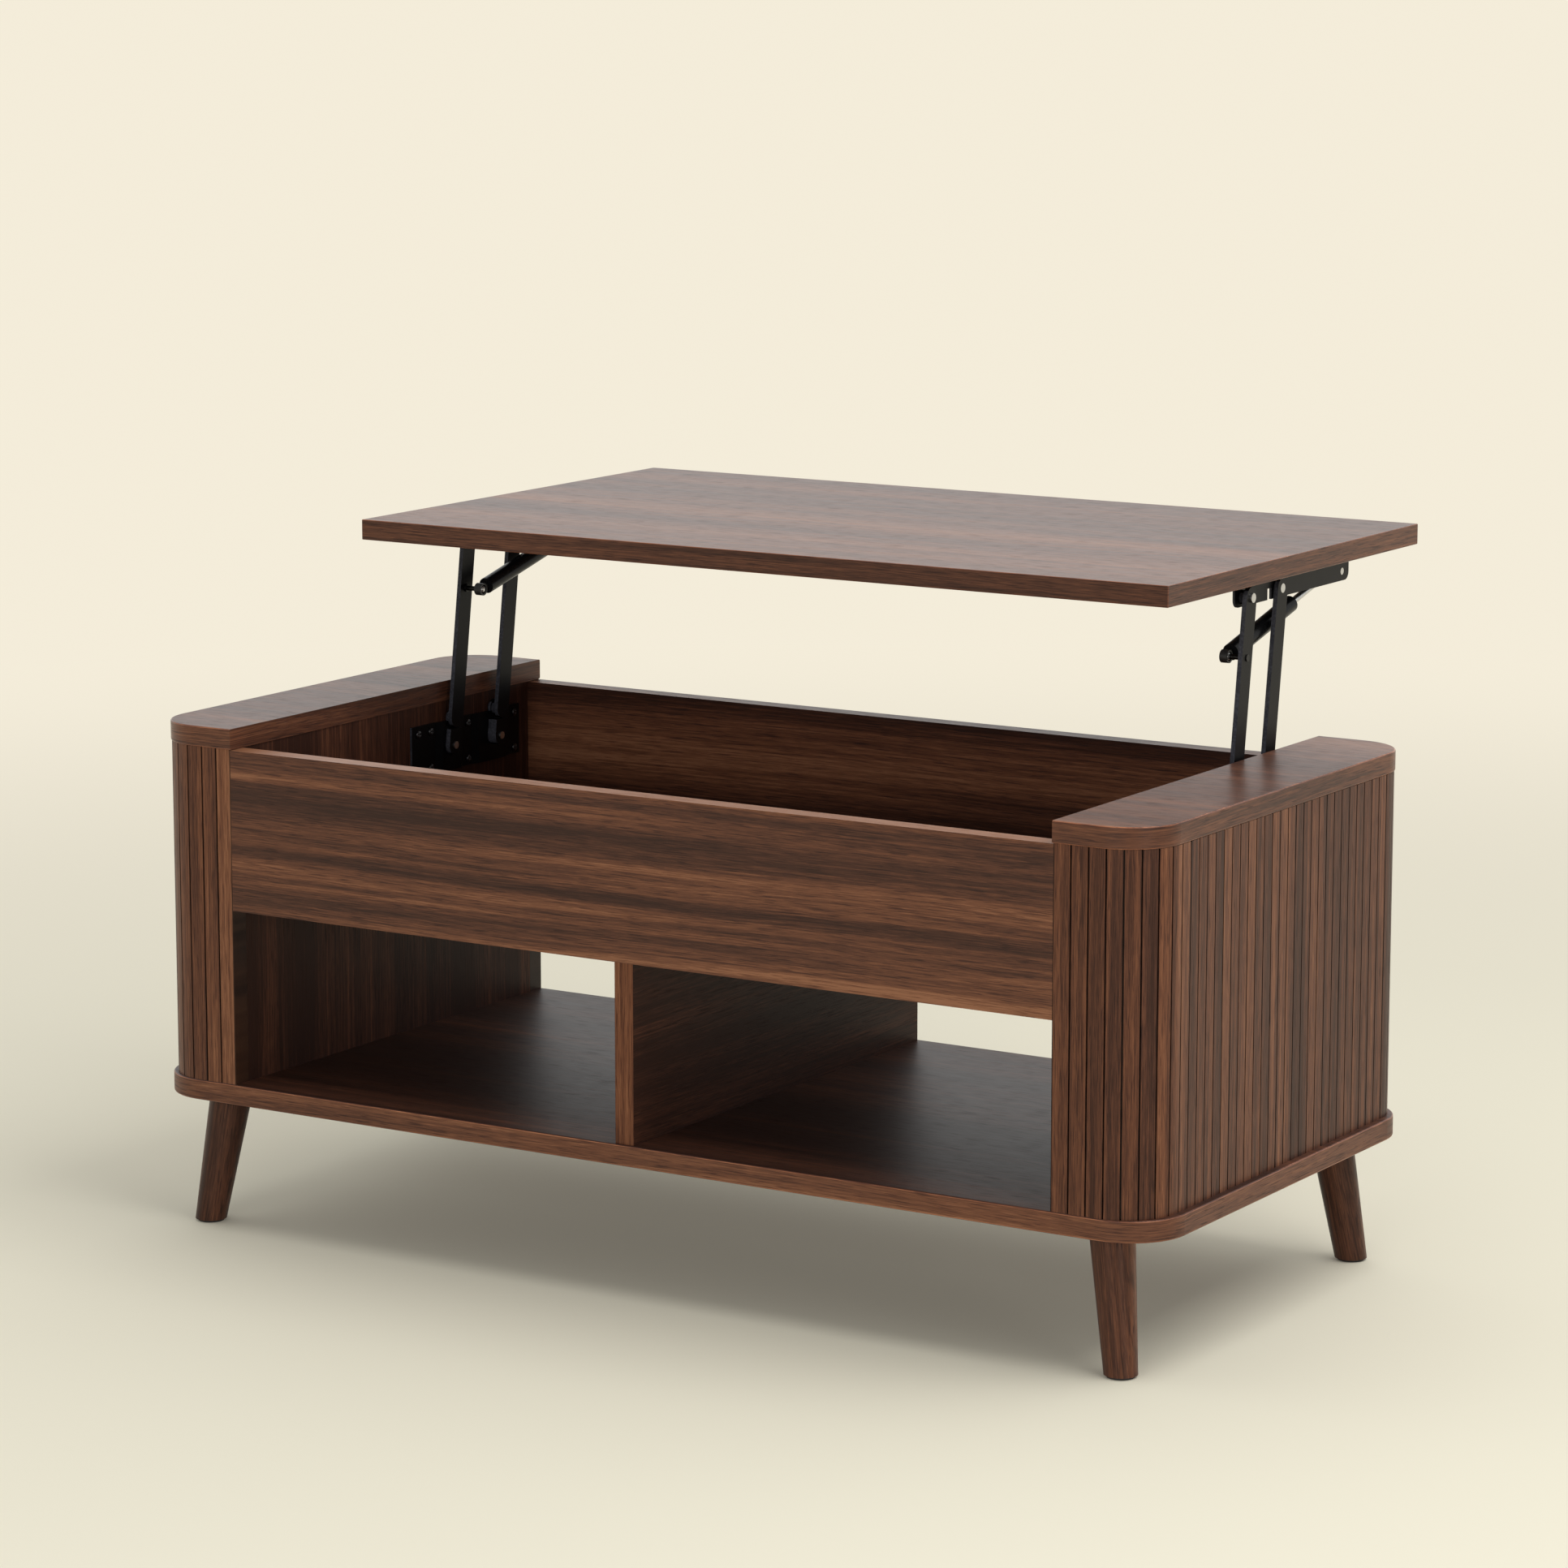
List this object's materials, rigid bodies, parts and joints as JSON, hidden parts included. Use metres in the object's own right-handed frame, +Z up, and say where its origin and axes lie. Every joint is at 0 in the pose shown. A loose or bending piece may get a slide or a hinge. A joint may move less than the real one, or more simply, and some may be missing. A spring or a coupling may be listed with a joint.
{
  "type": "lift top coffee table",
  "caption": "Low walnut coffee table with fluted rounded ends, open cubbies and splayed legs; its top rises and slides back on sprung parallel arms above a storage well.",
  "frame": {"origin": "bottom centre of the bounding box with the top raised, on the floor", "axes": "+X along the table, +Y the way the top shifts as it rises, +Z up"},
  "size_m": [0.995, 0.658, 0.607],
  "materials": {
    "walnut_board": "satin walnut laminate on board",
    "walnut_slats": "satin walnut laminate, grooved",
    "leg_wood": "satin stained solid wood",
    "black_steel": "satin black powder coat",
    "bright_steel": "bright zinc",
    "black_screws": "black zinc",
    "spring_black": "gloss black paint",
    "black_plastic": "matt black",
    "zinc_steel": "zinc plated",
    "dowel_wood": "raw beech"
  },
  "bodies": {
    "carcass": {"base_board": "walnut_board", "end_cap_left": "walnut_board", "end_cap_right": "walnut_board", "front_panel": "walnut_board", "back_panel": "walnut_board", "compartment_floor": "walnut_board", "centre_divider": "walnut_board", "inner_side_panel_left": "walnut_board", "inner_side_panel_right": "walnut_board", "fluted_panel_left": "walnut_slats", "fluted_panel_right": "walnut_slats", "leg_front_left": "leg_wood", "leg_front_right": "leg_wood", "leg_back_left": "leg_wood", "leg_back_right": "leg_wood", "lower_bracket_left": "black_steel", "lower_bracket_right": "black_steel", "stop_blocks": "black_steel", "stop_block_rivets": "bright_steel", "lower_pivot_pins": "black_steel", "lower_pivot_spacers": "black_steel", "lower_bracket_screws": "black_screws", "foot_pads": "black_plastic", "base_screws": "zinc_steel", "leg_bolts": "zinc_steel", "leg_inserts": "zinc_steel", "cam_bolts": "zinc_steel", "cam_locks": "zinc_steel", "cap_dowels": "dowel_wood", "floor_dowels": "dowel_wood", "divider_dowels": "dowel_wood"},
    "top": {"lift_top": "walnut_board", "upper_bracket_left": "black_steel", "upper_bracket_right": "black_steel", "upper_bracket_screws": "black_screws", "upper_pivot_rivets": "bright_steel", "upper_pivot_spacers": "black_steel", "spring_end_rivets": "bright_steel"},
    "left_front_arm": {"front_arm_left": "black_steel", "arm_ball_stud_left": "bright_steel"},
    "left_rear_arm": {"rear_arm_left": "black_steel"},
    "left_spring_cylinder": {"gas_cylinder_left": "spring_black", "cylinder_end_fitting_left": "black_plastic", "rod_guide_left": "spring_black"},
    "left_spring_rod": {"gas_rod_left": "bright_steel", "rod_end_fitting_left": "black_plastic", "spring_ball_stud_left": "bright_steel"},
    "right_front_arm": {"front_arm_right": "black_steel", "arm_ball_stud_right": "bright_steel"},
    "right_rear_arm": {"rear_arm_right": "black_steel"},
    "right_spring_cylinder": {"gas_cylinder_right": "spring_black", "cylinder_end_fitting_right": "black_plastic", "rod_guide_right": "spring_black"},
    "right_spring_rod": {"gas_rod_right": "bright_steel", "rod_end_fitting_right": "black_plastic", "spring_ball_stud_right": "bright_steel"}
  },
  "joints": [
    {"name": "lift", "type": "hinge", "parent": "carcass", "child": "left_front_arm", "pos_m": [-0.3962, -0.00659, 0.41219], "axis": [1, 0, 0], "range_deg": [0, 96.05]},
    {"name": "left_rear_arm_pivot", "type": "hinge", "parent": "carcass", "child": "left_rear_arm", "pos_m": [-0.3918, 0.05941, 0.41219], "axis": [1, 0, 0], "range_deg": [0, 96.1]},
    {"name": "right_front_arm_pivot", "type": "hinge", "parent": "carcass", "child": "right_front_arm", "pos_m": [0.3962, -0.00659, 0.41219], "axis": [1, 0, 0], "range_deg": [0, 96.1]},
    {"name": "right_rear_arm_pivot", "type": "hinge", "parent": "carcass", "child": "right_rear_arm", "pos_m": [0.3918, 0.05941, 0.41219], "axis": [1, 0, 0], "range_deg": [0, 96.1]},
    {"name": "top_pivot", "type": "hinge", "parent": "left_front_arm", "child": "top", "pos_m": [-0.3962, 0.0165, 0.5786], "axis": [1, 0, 0], "range_deg": [-96.1, 0]},
    {"name": "left_spring_pivot", "type": "hinge", "parent": "left_front_arm", "child": "left_spring_cylinder", "pos_m": [-0.3785, 0.00963, 0.52907], "axis": [1, 0, 0], "range_deg": [-109.8, 0]},
    {"name": "left_spring_stroke", "type": "slide", "parent": "left_spring_cylinder", "child": "left_spring_rod", "axis": [0, 0.9689, 0.2475], "range_m": [-0.0632, 0]},
    {"name": "right_spring_pivot", "type": "hinge", "parent": "right_front_arm", "child": "right_spring_cylinder", "pos_m": [0.3785, 0.00963, 0.52907], "axis": [1, 0, 0], "range_deg": [-109.8, 0]},
    {"name": "right_spring_stroke", "type": "slide", "parent": "right_spring_cylinder", "child": "right_spring_rod", "axis": [0, 0.9689, 0.2475], "range_m": [-0.0632, 0]}
  ],
  "couplings": [
    {"joint": "left_rear_arm_pivot", "follows": "lift", "ratio": 1},
    {"joint": "right_front_arm_pivot", "follows": "lift", "ratio": 1},
    {"joint": "right_rear_arm_pivot", "follows": "lift", "ratio": 1},
    {"joint": "top_pivot", "follows": "lift", "ratio": -1},
    {"joint": "left_spring_pivot", "follows": "lift", "ratio": -1.1422},
    {"joint": "left_spring_stroke", "follows": "lift", "m_per_rad": -0.037616},
    {"joint": "right_spring_pivot", "follows": "lift", "ratio": -1.1422},
    {"joint": "right_spring_stroke", "follows": "lift", "m_per_rad": -0.037616}
  ]
}
